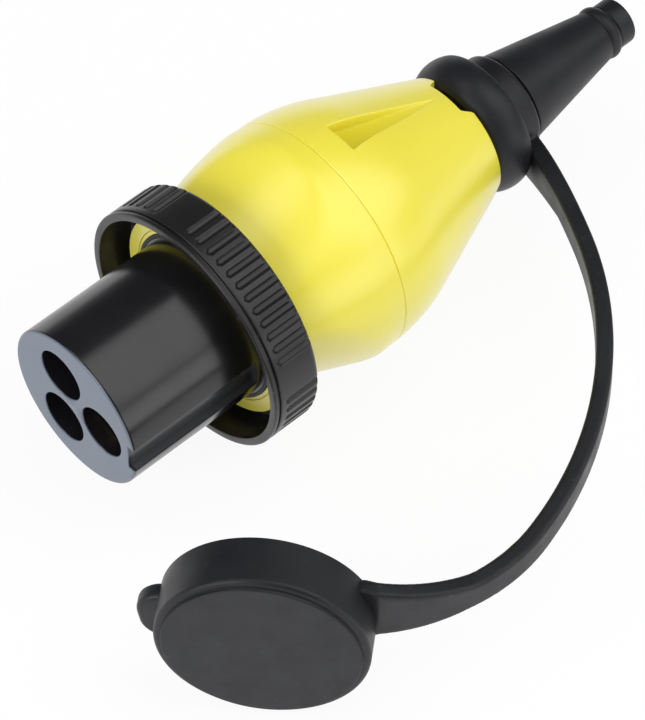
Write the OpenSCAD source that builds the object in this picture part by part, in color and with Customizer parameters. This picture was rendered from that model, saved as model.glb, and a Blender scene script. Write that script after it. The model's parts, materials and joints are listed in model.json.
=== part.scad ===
// Three-pole power plug: contact nose, coupling ring, two-part shell, cable boot and
// a cap on a strap. Sizes are in millimetres. The nose face lies at x = 0, the cable
// leaves along +X and +Z is up. Angles round the axis run from +Y towards +Z.

/* [Nose] */
// Diameter of the contact nose
nose_d = 47; // [46:0.5:48]
// Length of the nose ahead of the coupling ring
nose_reach = 37; // [32:1:42]
// Chamfer round the front edge of the nose
nose_chamfer = 0.8; // [0.4:0.1:1.5]
// Width of the keyway along the nose
key_w = 9; // [6:0.5:11]
// Depth of the keyway
key_depth = 2.8; // [1.5:0.1:3.2]
// Solid end left between the keyway and the seal
key_stop = 2; // [1:0.5:4]
// Diameter of each contact pocket
pocket_d = 15; // [13.5:0.5:16]
// Depth of each contact pocket
pocket_depth = 12; // [9:1:16]
// Distance of each contact from the axis
pole_r = 10.3; // [9.8:0.1:11]

/* [Contacts] */
// Diameter of the pin that a contact takes
pin_d = 6; // [5:0.1:6.4]
// Outer diameter of a contact
contact_d = 10; // [9.2:0.2:10.6]
// Depth of the pin hole in a contact
pin_depth = 26; // [20:1:30]
// Lead of the earth contact over the other two
earth_lead = 6; // [2:0.5:7]
// Width of the slits that let a contact spring
slit_w = 0.8; // [0.5:0.1:1]
// Length of those slits
slit_len = 14; // [8:1:18]
// Thickness of the collar that stops a contact
stop_t = 2; // [1.5:0.1:3]
// Height of that collar above the contact
stop_h = 1.4; // [1:0.1:1.6]
// Length of a terminal behind the carrier
terminal_len = 16; // [15:0.5:20]
// Diameter of the wire hole in a terminal
wire_d = 5.2; // [3:0.2:6]
// Depth of the wire hole
wire_depth = 11; // [9:0.5:12]
// Depth of the flat under a terminal screw's head
terminal_flat = 0.4; // [0.3:0.1:0.8]
// Distance from a terminal's end to its screw
terminal_screw_back = 6; // [4.5:0.5:7]
// Thread diameter of a terminal screw
terminal_screw_d = 3.9; // [3:0.1:4]

/* [Carrier] */
// Height of the carrier's flange above the nose
flange_h = 1.8; // [1.4:0.1:2]
// Thickness of the carrier's flange
flange_t = 3.5; // [3:0.1:5]
// Step from the nose down to the barrel behind the flange
barrel_step = 1.1; // [0.8:0.1:1.5]
// Length of the barrel behind its nut
barrel_tail = 2; // [1:0.5:4]
// Thickness of the nut that clamps the carrier
nut_t = 4; // [3:0.5:6]
// Number of spanner slots in the nut
nut_slots = 4; // [2:1:6]
// Width of a spanner slot
nut_slot_w = 4; // [3:0.5:5]
// Depth of a spanner slot
nut_slot_depth = 1.6; // [1:0.1:2]

/* [Contact retainer] */
// Diameter of the plate behind the carrier
plate_d = 43; // [42.5:0.1:44]
// Thickness of the plate
plate_t = 4; // [3:0.5:6]
// Distance of the plate's screws from the axis
plate_screw_r = 16; // [15.8:0.1:16.6]
// Thread diameter of the small screws
screw_d = 3.5; // [3:0.1:3.6]
// Head diameter of the small screws
screw_head_d = 6; // [5.6:0.1:6.2]
// Head height of the small screws
screw_head_h = 2.2; // [1.8:0.1:2.6]
// Length of the plate's screws under the head
plate_screw_len = 12; // [10:0.5:13]
// Width of the slot in a screw head
driver_w = 0.9; // [0.6:0.1:1.2]
// Depth of the slot in a screw head
driver_depth = 1; // [0.8:0.1:1.2]
// Thickness of the two arms that carry the cord clamp
arm_t = 4.5; // [4:0.1:5]
// Width of those arms
arm_w = 8; // [6:0.5:8.4]
// Length from the plate to the end of the cord clamp
yoke_len = 42; // [38:0.5:44]
// Length of the cord clamp along the cable
clamp_len = 12; // [10:0.5:14]
// Depth of the yoke's bridge below the cable's middle
bridge_h = 9; // [8:0.5:10]
// Height of the clamp bar above the cable's middle
clamp_h = 8; // [7.5:0.5:9]
// Gap at each end of the clamp bar
clamp_end_gap = 0.5; // [0.3:0.1:1]
// Distance between the clamp's screws
clamp_screw_span = 24; // [22:0.5:25]
// Gap left between the clamp bar and the bridge
clamp_gap = 0.6; // [0.2:0.1:1.2]

/* [Coupling ring] */
// Outer diameter of the coupling ring
ring_d = 72; // [71:0.5:76]
// Length of the coupling ring
ring_len = 15.4; // [14.8:0.2:20]
// Bore of the ring's mouth
ring_bore_d = 67.2; // [64:0.2:67.6]
// Depth of the ring's mouth ahead of the collar
ring_mouth = 7.5; // [6:0.5:8.5]
// Width of the lip at the ring's mouth
lip_w = 1.3; // [1:0.1:2]
// Width of the neat groove behind the lip
lip_groove_w = 0.8; // [0.5:0.1:1.2]
// Depth of that groove
lip_groove_depth = 0.8; // [0.4:0.1:1]
// Rounding of the ring's rear edge
ring_rear_round = 1.5; // [0.8:0.1:2]
// Rounding of the ring's other edges
ring_edge_round = 0.6; // [0.3:0.1:0.6]
// Number of grip grooves in each quarter of the ring
grip_count = 12; // [6:1:12]
// Angle from one grip groove to the next
grip_pitch = 6.2; // [5.6:0.1:6.4]
// Width of a grip groove
grip_w = 2; // [1.6:0.1:2.4]
// Depth of a grip groove
grip_depth = 0.9; // [0.5:0.1:1]
// Plain width between the lip's groove and the grip grooves
grip_margin = 2.6; // [1:0.1:5]
// Angle of the first plain patch between the grip quarters
grip_start = 77; // [0:1:89]
// Thickness of the collar that keeps the ring on
collar_t = 3.5; // [3:0.1:4]
// Outer diameter of that collar
collar_d = 60; // [59.6:0.1:61]

/* [Shells] */
// Diameter of the body at the seam
body_d = 70; // [69:0.5:72]
// Length of the front shell behind the coupling ring
front_len = 31; // [28:0.5:36]
// Diameter of the shoulder behind the coupling ring
shoulder_d = 59.2; // [58.6:0.2:61]
// Radius of the front shell's swell along the axis
front_round = 103; // [80:1:200]
// Width of the plain band ahead of the seam
band_w = 5.2; // [4:0.1:7]
// Rise of the band from the seam to the crease
band_rise = 0.2; // [0.1:0.1:0.6]
// Slope of the three grip flats on the front shell
flat_slope = 21.3; // [14:0.1:24]
// Radius across each grip flat
flat_round = 50; // [44:1:80]
// Distance from the crease to the end of a grip flat
flat_end = 1; // [0.5:0.1:4]
// Wall thickness behind the carrier's seat
front_seat_t = 6; // [5:0.5:7]
// Wall of the spigot that carries the collar
spigot_wall = 1.1; // [0.8:0.1:1.4]
// Step from that spigot up to the ring's neck
neck_step = 1.8; // [1.6:0.1:2]
// Length of the taper inside the front shell
throat_len = 6; // [4:0.5:8]
// Wall thickness of the joint sleeve at the seam
sleeve_wall = 3.4; // [3:0.1:4]
// Wall of the rear shell round the joint sleeve
socket_wall = 3.25; // [3:0.05:3.6]
// Length of the joint sleeve
sleeve_len = 6.5; // [6:0.1:7]
// Room between the sleeve's end and its socket
sleeve_room = 0.8; // [0.4:0.1:1]
// Chamfer that marks the seam
seam_chamfer = 0.4; // [0.2:0.1:0.8]
// Length of the rear shell
rear_len = 50.3; // [48:0.1:54]
// Radius of the rear shell's swell along the axis
rear_round = 50; // [40:1:60]
// Slope of the rear shell's cone
rear_taper = 21.5; // [18:0.1:22]
// Extra slope of the swell where the cone leaves it
rear_break = 1.5; // [1:0.1:4]
// Thickness of the wall at the cable end
rear_wall = 7; // [5:0.5:8]
// Wall thickness of the rear shell under a flute
flute_floor = 2.2; // [1.6:0.1:2.6]
// Distance from the seam to a flute
flute_start = 8.8; // [8.2:0.1:12]
// Width of a flute at its wide end
flute_w = 10; // [6:0.5:14]
// Length of a flute
flute_len = 35; // [28:0.5:36]
// Depth of a flute at its wide end
flute_depth = 3.2; // [2:0.1:3.4]
// Slope of a flute's floor
flute_tilt = 15.3; // [14:0.1:17]
// Width of the notches in the rear edge
notch_w = 13; // [8:0.5:16]
// Depth of those notches along the axis
notch_depth = 3.3; // [2:0.1:4]

/* [Seals] */
// Width of the face seal round the nose
gasket_w = 1.7; // [1.4:0.1:2]
// Length of the face seal in its recess
gasket_sunk = 2; // [1.5:0.1:3]
// Length of the face seal that stands proud
gasket_proud = 0.6; // [0.3:0.1:1]
// Step at the nose's root that fills the shell's opening
root_step = 0.7; // [0.6:0.05:0.8]
// Thickness of the seal ring at the seam
seal_t = 1.9; // [1.5:0.1:2]
// Distance from the seam to the seal's groove
seal_inset = 1.6; // [1.2:0.1:2]
// Length of the cable seal in the boot
gland_len = 14; // [10:0.5:16]
// Wall of the cable seal
gland_wall = 4.3; // [3:0.1:5]
// Thickness of the washer on the cable seal
washer_t = 2; // [1:0.1:3]

/* [Cable boot] */
// Diameter of the cable hole
cable_d = 11; // [8:0.5:11.6]
// Length of the boot behind the shell
boot_len = 63.6; // [58:0.2:70]
// Diameter of the boot in the shell's rear wall
boot_neck_d = 28.4; // [28:0.1:30]
// Height of the lip that keeps the boot in the shell
boot_lip_h = 1.2; // [0.8:0.1:1.4]
// Length of that lip
boot_lip_len = 3; // [2:0.1:4]
// Diameter of the bead behind the shell
bead_d = 40; // [38.5:0.1:42]
// Width of the bead
bead_w = 11.3; // [9:0.1:13]
// Radius of the bead's section
bead_round = 9; // [8.5:0.1:9.5]
// Distance from the shell to the bead's crest
bead_crest = 6.2; // [5:0.1:7]
// Diameter of the groove that carries the tether's ring
tether_groove_d = 25; // [24:0.2:26]
// Width of that groove
tether_groove_w = 8.7; // [8:0.1:10]
// Diameter at the cone's wide end
cone_d = 27.2; // [26.6:0.2:30]
// Diameter at the cone's narrow end
cone_tip_d = 14.4; // [14:0.1:16]
// Length of the plain tip behind the cone
tip_len = 7.6; // [6:0.2:10]
// Diameter of the plain tip
tip_d = 13.8; // [13.2:0.1:13.9]
// Rounding of the tip's edge
tip_round = 0.8; // [0.3:0.1:1]
// Diameter over the bead near the tip
tip_bead_d = 16.6; // [15.8:0.1:18]
// Radius of that bead's section
tip_bead_round = 2.5; // [2:0.1:3]

/* [Cap and strap] */
// Width of the tether's ring along the boot
tether_w = 7.4; // [6:0.1:7.6]
// Wall of the tether's ring
tether_wall = 3.4; // [2.5:0.1:4]
// Rounding of the tether's ring
tether_round = 1.2; // [0.5:0.1:1.6]
// Distance from the front of the tether's ring to the strap's root
strap_set = 5.05; // [4.9:0.05:5.3]
// Depth of the strap's root inside the bore of the tether's ring
strap_sink = 3.6; // [3:0.1:4]
// Width of the strap
strap_w = 9; // [8:0.5:10]
// Thickness of the strap
strap_t = 4.6; // [3:0.1:4.7]
// Reach of the strap's root above the strap's middle
strap_root_up = 6.5; // [5.5:0.5:8]
// Reach of the strap's root below the strap's middle
strap_root_down = 13; // [8:0.5:13]
// Length over which the strap narrows from the ring
strap_root_len = 32; // [20:1:38]
// Width of the strap where it meets the cap
strap_end_w = 15; // [12:0.5:18]
// Length over which the strap widens to the cap
strap_end_len = 19; // [8:0.5:24]
// Lean of the strap's root towards the nose
strap_lean_angle = 17.8; // [16:0.2:19]
// Fall of the strap from the ring to the cap
strap_fall_angle = 1.9; // [1:0.1:2.4]
// Radius of the strap's bend at the ring
root_bend_r = 300; // [260:5:340]
// Angle of that bend
root_bend_angle = 8.2; // [7.8:0.2:9]
// Radius of the strap's middle bend
mid_bend_r = 110; // [104:1:116]
// Angle of the middle bend
mid_bend_angle = 50.8; // [48:0.2:54]
// Radius of the strap's bend at the cap
end_bend_r = 50; // [44:1:56]
// Angle of that bend
end_bend_angle = 55.4; // [50:0.2:60]
// Turn of the cap on the strap's end
cap_turn_angle = 7.3; // [0:0.1:9]
// Tip of the cap's closed face above the strap's plane
cap_tip_angle = 3.7; // [0:0.1:5]
// Turn of the cap about its own axis
cap_spin_angle = 7.3; // [0:0.1:9]
// Room between the nose and the cap's wall
cap_room = 0.3; // [0.1:0.1:0.6]
// Wall thickness of the cap
cap_wall = 3.7; // [2.5:0.1:4]
// Depth of the cap
cap_depth = 15; // [13:0.1:18]
// Floor thickness of the cap
cap_floor = 3; // [2.5:0.1:4]
// Rounding of the cap's closed edge
cap_round = 1.4; // [1:0.1:2]
// Rounding of the cap's mouth
cap_mouth_round = 0.5; // [0.2:0.1:0.8]
// Width of the raised rim round the cap's closed face
cap_rim_w = 0.5; // [0.4:0.1:2]
// Depth of the closed face inside that rim
cap_sink = 0.3; // [0.2:0.1:1]
// Reach of the strap's end over its joint with the cap
pad_lap = 2; // [1.8:0.1:3]
// Width of the pull tab
tab_w = 16; // [11:0.5:18]
// Thickness of the pull tab
tab_t = 5; // [3:0.5:6]
// Length of the pull tab beyond the cap
tab_len = 5.5; // [4:0.5:8]
// Rounding of the pull tab's corners
tab_round = 5; // [1:0.5:5]

/* [Fits] */
// Clearance between fixed pieces
fit_gap = 0.1; // [0.05:0.05:0.2]
// Clearance round the turning ring
run_gap = 0.3; // [0.25:0.05:0.4]

/* [Hidden] */
$fn = 96;
// Overshoot of every cutting shape
cut = 1;
// Overlap of joined shapes
lap = 0.5;
// Extra thickness of the ties between the strap's bends
tie_skin = 0.05;
// Angle between equal features in thirds and in quarters
third = 120;
quarter = 90;
// Angles of the contacts, of the grips and of the plate's screws
line_at = 60;
neutral_at = -60;
earth_at = 180;
grip_at = 90;

nose_r = nose_d / 2;
root_r = nose_r + root_step;
opening_r = root_r + fit_gap;
gasket_r = nose_r + gasket_w;
gasket_recess_r = gasket_r + fit_gap;
spigot_r = gasket_recess_r + spigot_wall;
neck_r = spigot_r + neck_step;
flange_r = nose_r + flange_h;
neck_in_r = flange_r + 2 * fit_gap;
barrel_r = nose_r - barrel_step;
contact_r = contact_d / 2;
contact_hole_r = contact_r + fit_gap;
stop_r = contact_r + stop_h;
screw_r = screw_d / 2;
screw_head_r = screw_head_d / 2;
ring_r = ring_d / 2;
ring_bore_r = ring_bore_d / 2;
web_r = neck_r + run_gap;
body_r = body_d / 2;
shoulder_r = shoulder_d / 2;
crease_r = body_r + band_rise;
socket_r = body_r - socket_wall;
sleeve_r = socket_r - fit_gap;
sleeve_in_r = sleeve_r - sleeve_wall;
boot_neck_r = boot_neck_d / 2;
boot_hole_r = boot_neck_r + fit_gap;
cable_r = cable_d / 2;
gland_r = cable_r + gland_wall + fit_gap;
tether_groove_r = tether_groove_d / 2;
tether_in_r = tether_groove_r + fit_gap;
tether_r = tether_in_r + tether_wall;
cap_in_r = nose_r + cap_room;
cap_r = cap_in_r + cap_wall;

ring_x0 = nose_reach;
ring_x1 = ring_x0 + ring_len;
collar_x0 = ring_x0 + ring_mouth;
neck_x0 = collar_x0 + collar_t;
web_x0 = neck_x0 + run_gap;
shoulder_x = ring_x1 + run_gap;
seam_x = shoulder_x + front_len;
crease_x = seam_x - band_w;
tail_x = seam_x + rear_len;
gasket_x0 = collar_x0 - gasket_proud;
gasket_x1 = collar_x0 + gasket_sunk;
seat_x = collar_x0 + front_seat_t;
nut_x0 = seat_x + flange_t;
nut_x1 = nut_x0 + nut_t;
plate_x0 = nut_x1 + barrel_tail;
plate_x1 = plate_x0 + plate_t;
stop_x0 = plate_x0 - stop_t;
terminal_x1 = plate_x0 + terminal_len;
terminal_screw_x = terminal_x1 - terminal_screw_back;
clamp_span = clamp_screw_span + screw_head_d;
arm_span = clamp_span + 2 * (clamp_end_gap + arm_t);
yoke_x1 = plate_x1 + yoke_len;
yoke_x0 = yoke_x1 - clamp_len;
clamp_x = (yoke_x0 + yoke_x1) / 2;
throat_x1 = plate_x0 + throat_len;
sleeve_x1 = seam_x + sleeve_len;
socket_x1 = sleeve_x1 + sleeve_room;
swell_x1 = seam_x + rear_round * sin(rear_taper + rear_break);
swell_r = body_r - rear_round * (1 - cos(rear_taper + rear_break));
cone_x0 = seam_x + rear_round * sin(rear_taper);
cone_r0 = swell_r + (swell_x1 - cone_x0) * tan(rear_taper);
tail_r = swell_r - (tail_x - swell_x1) * tan(rear_taper);
flute_x0 = seam_x + flute_start;
flute_r = body_r - rear_round + sqrt(pow(rear_round, 2) - pow(flute_start, 2)) - flute_depth;
rear_wall_x = tail_x - rear_wall;
cavity_r0 = flute_r - flute_floor;
cavity_r1 = cavity_r0 - (rear_wall_x - flute_x0) * tan(flute_tilt);
boot_x0 = rear_wall_x - boot_lip_len;
bead_x1 = tail_x + bead_w;
tether_groove_x1 = bead_x1 + tether_groove_w;
boot_x1 = tail_x + boot_len;
tip_x0 = boot_x1 - tip_len;
gland_x1 = boot_x0 + washer_t + gland_len;
tether_x0 = bead_x1 + (tether_groove_w - tether_w) / 2;

// A profile with the radius across and the axis up, turned round the X axis
module turned() {
    rotate([0, 90, 0]) rotate_extrude() children();
}

// A rod along X
module rod(x0, x1, r) {
    translate([x0, 0, 0]) rotate([0, 90, 0]) cylinder(h = x1 - x0, r = r);
}

// A tube along X
module tube(x0, x1, r_out, r_in) {
    difference() {
        rod(x0, x1, r_out);
        rod(x0 - cut, x1 + cut, r_in);
    }
}

// Places a contact's own axis at its angle round the nose
module at_pole(angle) {
    rotate([angle, 0, 0]) translate([0, pole_r, 0]) children();
}

// Copies round the axis at the three grip angles
module thirds(start) {
    for (i = [0 : 2]) rotate([start + i * third, 0, 0]) children();
}

// Rectangle in a turned profile
module band(r0, r1, x0, x1) {
    translate([r0, x0]) square([r1 - r0, x1 - x0]);
}

// Band in a turned profile with its two outer corners rounded
module rounded_band(r0, r1, x0, x1, round0, round1) {
    band(r0, r1, x0 + round0, x1 - round1);
    band(r0, r1 - max(round0, round1), x0, x1);
    band(r0, r1 - round0, x0, x0 + 2 * round0);
    band(r0, r1 - round1, x1 - 2 * round1, x1);
    translate([r1 - round0, x0 + round0]) circle(r = round0);
    translate([r1 - round1, x1 - round1]) circle(r = round1);
}

// Slotted pan-head screw along -Y with its head's seat at the origin
module slotted_screw(shank_r, head_r, head_h, len) {
    rotate([-90, 0, 0]) difference() {
        union() {
            translate([0, 0, -len]) cylinder(h = len + lap, r = shank_r);
            cylinder(h = head_h, r = head_r);
        }
        translate([-head_r - cut, -driver_w / 2, head_h - driver_depth])
            cube([2 * (head_r + cut), driver_w, driver_depth + cut]);
    }
}

module contact_carrier() {
    color([0.1, 0.1, 0.11])
    difference() {
        turned() polygon([
            [0, 0],
            [nose_r - nose_chamfer, 0],
            [nose_r, nose_chamfer],
            [nose_r, gasket_x0],
            [root_r, gasket_x0],
            [root_r, seat_x],
            [flange_r, seat_x],
            [flange_r, nut_x0],
            [barrel_r, nut_x0],
            [barrel_r, plate_x0],
            [0, plate_x0]
        ]);
        translate([-cut, -nose_r - cut, -key_w / 2])
            cube([gasket_x0 - key_stop + cut, key_depth + cut, key_w]);
        for (angle = [line_at, neutral_at, earth_at]) at_pole(angle) {
            rod(-cut, pocket_depth, pocket_d / 2);
            rod(0, plate_x0 + cut, contact_hole_r);
            rod(stop_x0, plate_x0 + cut, stop_r + fit_gap);
        }
        thirds(0) translate([0, plate_screw_r, 0])
            rod(plate_x1 - plate_screw_len - cut, plate_x0 + cut, screw_r + fit_gap);
    }
}

// Socket contact on its own axis, with a spring mouth and a screw terminal
module contact(front_x) {
    color([0.8, 0.62, 0.25])
    difference() {
        union() {
            rod(front_x, terminal_x1, contact_r);
            rod(stop_x0, plate_x0, stop_r);
        }
        rod(front_x - cut, front_x + pin_depth, pin_d / 2);
        translate([front_x - cut, -contact_r - cut, -slit_w / 2])
            cube([slit_len + cut, 2 * (contact_r + cut), slit_w]);
        rod(terminal_x1 - wire_depth, terminal_x1 + cut, wire_d / 2);
        translate([plate_x1 + lap, contact_r - terminal_flat, -contact_r])
            cube([terminal_len, contact_r, 2 * contact_r]);
        translate([terminal_screw_x, 0, 0]) rotate([-90, 0, 0])
            cylinder(h = contact_r + cut, r = terminal_screw_d / 2 + fit_gap);
    }
}

// Terminal screw on a contact's own axis
module terminal_screw() {
    color([0.75, 0.75, 0.78])
    translate([terminal_screw_x, contact_r - terminal_flat, 0])
        slotted_screw(terminal_screw_d / 2, screw_head_r, screw_head_h, contact_r - terminal_flat);
}

module line_contact() {
    at_pole(line_at) contact(pocket_depth);
}

module neutral_contact() {
    at_pole(neutral_at) contact(pocket_depth);
}

module earth_contact() {
    at_pole(earth_at) contact(pocket_depth - earth_lead);
}

module line_screw() {
    at_pole(line_at) terminal_screw();
}

module neutral_screw() {
    at_pole(neutral_at) terminal_screw();
}

module earth_screw() {
    at_pole(earth_at) terminal_screw();
}

module contact_retainer() {
    color([0.16, 0.16, 0.17])
    difference() {
        union() {
            rod(plate_x0, plate_x1, plate_d / 2);
            for (side = [-1, 1])
                translate([plate_x1 - lap, -arm_w / 2, side * (arm_span - arm_t) / 2 - arm_t / 2])
                    cube([yoke_len + lap, arm_w, arm_t]);
            translate([yoke_x0, -bridge_h, -arm_span / 2])
                cube([clamp_len, bridge_h - clamp_gap / 2, arm_span]);
        }
        for (angle = [line_at, neutral_at, earth_at]) at_pole(angle)
            rod(plate_x0 - cut, plate_x1 + cut, contact_hole_r);
        thirds(0) translate([0, plate_screw_r, 0])
            rod(plate_x0 - cut, plate_x1 + cut, screw_r + fit_gap);
        rod(yoke_x0 - cut, yoke_x1 + cut, cable_r);
        for (side = [-1, 1]) translate([clamp_x, 0, side * clamp_screw_span / 2])
            rotate([90, 0, 0]) cylinder(h = bridge_h + cut, r = screw_r + fit_gap);
    }
}

// Screw of the retainer's plate at one of three places
module retainer_screw(i) {
    color([0.75, 0.75, 0.78])
    rotate([i * third, 0, 0]) translate([plate_x1, plate_screw_r, 0]) rotate([0, 0, -90])
        slotted_screw(screw_r, screw_head_r, screw_head_h, plate_screw_len);
}

module retainer_screw_1() {
    retainer_screw(0);
}

module retainer_screw_2() {
    retainer_screw(1);
}

module retainer_screw_3() {
    retainer_screw(2);
}

module carrier_nut() {
    color([0.2, 0.2, 0.21])
    difference() {
        tube(nut_x0, nut_x1, neck_in_r - fit_gap, barrel_r + fit_gap);
        for (i = [0 : nut_slots - 1]) rotate([i * 360 / nut_slots, 0, 0])
            translate([nut_x1 - nut_slot_depth, 0, -nut_slot_w / 2])
                cube([nut_slot_depth + cut, neck_in_r, nut_slot_w]);
    }
}

module face_gasket() {
    color([0.13, 0.13, 0.13])
    tube(gasket_x0, gasket_x1, gasket_r, root_r + fit_gap);
}

module lock_ring() {
    lip_x1 = ring_x0 + lip_w;
    grip_zone_x0 = lip_x1 + lip_groove_w;
    grip_x0 = grip_zone_x0 + grip_margin + grip_w / 2;
    grip_row = (grip_count - 1) * grip_pitch;
    color([0.17, 0.17, 0.18])
    difference() {
        turned() difference() {
            union() {
                rounded_band(web_r, ring_r, ring_x0, lip_x1, ring_edge_round, ring_edge_round);
                band(web_r, ring_r - lip_groove_depth, ring_x0 + lip_w / 2, ring_x1 - ring_rear_round);
                rounded_band(web_r, ring_r, grip_zone_x0, ring_x1, ring_edge_round, ring_rear_round);
            }
            band(0, ring_bore_r, ring_x0 - cut, web_x0);
        }
        for (q = [0 : 3]) for (i = [0 : grip_count - 1])
            rotate([grip_start + q * quarter + (quarter - grip_row) / 2 + i * grip_pitch, 0, 0])
                translate([0, ring_r - grip_depth + grip_w / 2, 0]) {
                    rod(grip_x0, ring_x1 + cut, grip_w / 2);
                    translate([grip_x0, 0, 0]) sphere(r = grip_w / 2);
                }
    }
}

module ring_collar() {
    color([0.93, 0.85, 0.12])
    tube(collar_x0, neck_x0, collar_d / 2, spigot_r + fit_gap);
}

// Centre of the swell that joins two profile points
function swell_centre(p, q, r) =
    let (d = q - p)
    (p + q) / 2 + sqrt(r * r / (d * d) - 0.25) * [-d[1], d[0]];

module front_shell() {
    shoulder = [shoulder_r, shoulder_x];
    crease = [crease_r, crease_x];
    body_len = seam_x - shoulder_x;
    seal_x0 = seam_x + seal_inset;
    seal_x1 = seal_x0 + seal_t + 3 * fit_gap;
    color([0.93, 0.85, 0.12])
    difference() {
        union() {
            intersection() {
                turned() intersection() {
                    polygon([[0, shoulder_x], [body_r + band_rise / band_w * body_len, shoulder_x],
                             [body_r, seam_x], [0, seam_x]]);
                    translate(swell_centre(shoulder, crease, front_round)) circle(r = front_round);
                }
                grip_flat(grip_at);
                grip_flat(grip_at + third);
                grip_flat(grip_at + 2 * third);
            }
            turned() {
                band(0, spigot_r, collar_x0, neck_x0 + lap);
                band(0, neck_r, neck_x0, crease_x);
                band(0, sleeve_r, crease_x - lap, sleeve_x1);
            }
        }
        turned() {
            polygon([
                [0, collar_x0 - cut],
                [gasket_recess_r, collar_x0 - cut],
                [gasket_recess_r, gasket_x1],
                [opening_r, gasket_x1],
                [opening_r, seat_x],
                [neck_in_r, seat_x],
                [neck_in_r, plate_x0],
                [sleeve_in_r, throat_x1],
                [sleeve_in_r, sleeve_x1 + cut],
                [0, sleeve_x1 + cut]
            ]);
            band(socket_r - seal_t, socket_r + cut, seal_x0, seal_x1);
        }
    }
}

// Large tilted round whose side leaves one grip flat
module grip_flat(angle) {
    reach = front_len + body_d;
    rotate([angle, 0, 0]) translate([crease_x - flat_end, crease_r, 0]) rotate([0, 0, flat_slope])
        translate([0, -flat_round, 0]) rod(-reach, reach, flat_round);
}

module rear_shell() {
    color([0.93, 0.85, 0.12])
    difference() {
        turned() {
            intersection() {
                band(0, body_r, seam_x, swell_x1 + lap);
                translate([body_r - rear_round, seam_x]) circle(r = rear_round);
            }
            polygon([[0, cone_x0], [cone_r0, cone_x0], [tail_r, tail_x], [0, tail_x]]);
        }
        turned() {
            polygon([
                [0, seam_x - cut],
                [socket_r, seam_x - cut],
                [socket_r, socket_x1],
                [cavity_r0, socket_x1],
                [cavity_r0, flute_x0],
                [cavity_r1, rear_wall_x],
                [boot_hole_r, rear_wall_x],
                [boot_hole_r, tail_x + cut],
                [0, tail_x + cut]
            ]);
            polygon([[body_r - seam_chamfer - cut, seam_x - cut], [body_r + cut, seam_x - cut],
                     [body_r + cut, seam_x + seam_chamfer + cut]]);
        }
        thirds(grip_at) {
            translate([flute_x0, flute_r, 0]) rotate([0, 0, -flute_tilt]) rotate([-90, 0, 0])
                linear_extrude(body_r) polygon([[0, -flute_w / 2], [flute_len, 0], [0, flute_w / 2]]);
            translate([tail_x - notch_depth, 0, -notch_w / 2])
                cube([notch_depth + cut, body_r, notch_w]);
        }
    }
}

module shell_seal() {
    color([0.13, 0.13, 0.13])
    turned() translate([socket_r - seal_t / 2, seam_x + seal_inset + (seal_t + 3 * fit_gap) / 2])
        circle(r = seal_t / 2 - fit_gap / 2);
}

module cord_clamp() {
    color([0.16, 0.16, 0.17])
    difference() {
        translate([yoke_x0, clamp_gap / 2, -clamp_span / 2])
            cube([clamp_len, clamp_h - clamp_gap / 2, clamp_span]);
        rod(yoke_x0 - cut, yoke_x1 + cut, cable_r);
        for (side = [-1, 1]) translate([clamp_x, -cut, side * clamp_screw_span / 2])
            rotate([-90, 0, 0]) cylinder(h = clamp_h + 2 * cut, r = screw_r + fit_gap);
    }
}

// Screw of the cord clamp on one side of the cable
module clamp_screw(side) {
    color([0.75, 0.75, 0.78])
    translate([clamp_x, clamp_h, side * clamp_screw_span / 2])
        slotted_screw(screw_r, screw_head_r, screw_head_h, clamp_h + bridge_h);
}

module clamp_screw_1() {
    clamp_screw(1);
}

module clamp_screw_2() {
    clamp_screw(-1);
}

module gland_seal() {
    color([0.13, 0.13, 0.13])
    tube(boot_x0 + washer_t, gland_x1, gland_r - fit_gap, cable_r + fit_gap);
}

module gland_washer() {
    color([0.75, 0.75, 0.78])
    tube(boot_x0, boot_x0 + washer_t, gland_r - fit_gap, cable_r + fit_gap);
}

module cable_boot() {
    lip_r = boot_neck_r + boot_lip_h;
    color([0.2, 0.2, 0.21])
    turned() difference() {
        union() {
            band(0, lip_r, boot_x0, rear_wall_x);
            band(0, boot_neck_r, rear_wall_x - lap, tail_x + lap);
            intersection() {
                band(0, bead_d, tail_x, bead_x1);
                union() {
                    translate([bead_d / 2 - bead_round, tail_x + bead_crest]) circle(r = bead_round);
                    band(0, bead_d / 2 - bead_round, tail_x, bead_x1);
                }
            }
            band(0, tether_groove_r, bead_x1 - lap, tether_groove_x1 + lap);
            polygon([[0, tether_groove_x1], [cone_d / 2, tether_groove_x1],
                     [cone_tip_d / 2, tip_x0], [0, tip_x0]]);
            intersection() {
                band(0, tip_bead_d, tip_x0 - 2 * tip_bead_round, tip_x0 + 2 * tip_bead_round);
                translate([tip_bead_d / 2 - tip_bead_round, tip_x0]) circle(r = tip_bead_round);
            }
            rounded_band(0, tip_d / 2, tip_x0 - lap, boot_x1, lap / 2, tip_round);
        }
        band(0, cable_r, boot_x0 - cut, boot_x1 + cut);
        band(0, gland_r, boot_x0 - cut, gland_x1);
    }
}

// Bend of the strap to its right, starting at the origin along +X
module bend(r, angle, w) {
    translate([0, -r, 0]) rotate([0, 0, 90 - angle]) rotate_extrude(angle = angle)
        translate([r - strap_t / 2, -w / 2]) square([strap_t, w]);
}

// Moves to the end of such a bend
module after(r, angle) {
    translate([r * sin(angle), -r * (1 - cos(angle)), 0]) rotate([0, 0, -angle]) children();
}

// Short tie over the joint of two bends
module tie() {
    cube([2 * lap, strap_t + 2 * tie_skin, strap_w + 2 * tie_skin], center = true);
}

// Upright wedge that trims a wide bend to run from one pair of edges to another
module taper(x0, low0, high0, x1, low1, high1) {
    depth = strap_t + strap_root_len;
    translate([0, depth, 0]) rotate([90, 0, 0]) linear_extrude(2 * depth)
        polygon([[x0, low0], [x1, low1], [x1, high1], [x0, high0]]);
}

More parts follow.
